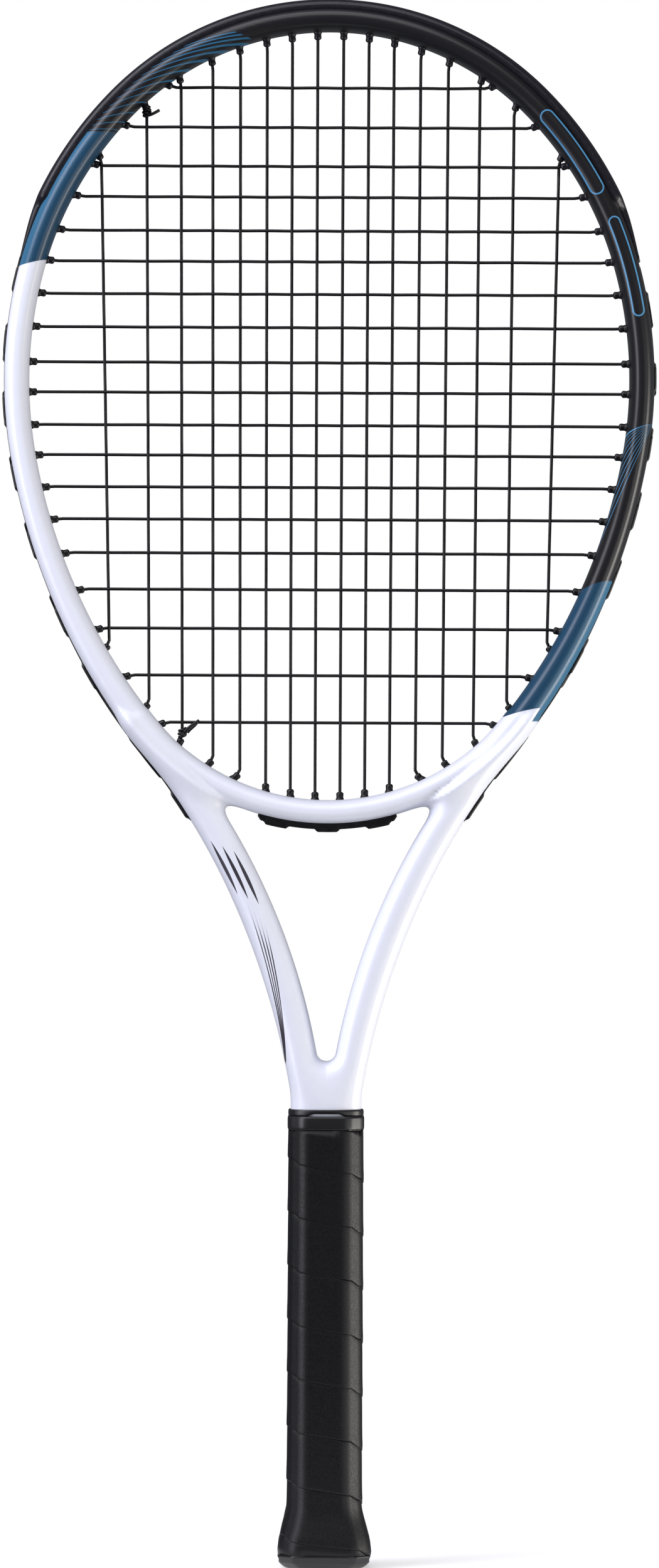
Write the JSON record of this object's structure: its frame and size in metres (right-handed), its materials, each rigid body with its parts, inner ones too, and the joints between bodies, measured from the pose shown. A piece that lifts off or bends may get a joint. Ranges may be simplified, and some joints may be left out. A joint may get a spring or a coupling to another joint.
{
  "type": "tennis racket",
  "caption": "Strung tennis racket: hollow hairpin frame with open throat, bumper guard and grommet strips, woven string bed, octagonal wrapped handle and a sliding rubber grip collar.",
  "frame": {"origin": "middle of the flat under the butt cap, which is the bottom centre of the racket", "axes": "+Z from the butt along the handle to the crown of the head; the string bed lies in the XZ plane with +X to the right; -Y is the front face"},
  "size_m": [0.2895, 0.0382, 0.6921],
  "materials": {
    "frame_paint": "satin gloss lacquer over carbon laminate, white running into steel blue and black",
    "bumper_nylon": "satin moulded nylon",
    "grommet_nylon": "satin moulded nylon",
    "string": "glossy polyester monofilament",
    "pallet_foam": "moulded rigid foam, hidden",
    "butt_cap_plastic": "satin moulded plastic",
    "staple_steel": "bright wire",
    "grip_wrap": "smooth tacky synthetic leather wrap",
    "finishing_tape": "vinyl tape",
    "collar_rubber": "satin rubber"
  },
  "bodies": {
    "racket": {"hairpin_frame": "frame_paint", "throat_bridge": "frame_paint", "bumper_guard": "bumper_nylon", "left_grommet_strip": "grommet_nylon", "right_grommet_strip": "grommet_nylon", "throat_grommet_strip": "grommet_nylon", "main_strings": "string", "cross_strings": "string", "string_knots": "string", "handle_pallet": "pallet_foam", "butt_cap": "butt_cap_plastic", "butt_cap_staples": "staple_steel", "grip_start_staple": "staple_steel", "base_grip": "grip_wrap", "grip_finishing_tape": "finishing_tape"},
    "collar": {"grip_collar": "collar_rubber"}
  },
  "joints": [
    {"name": "collar_slide", "type": "slide", "parent": "racket", "child": "collar", "axis": [0, 0, 1], "range_m": [0, 0.006]}
  ]
}
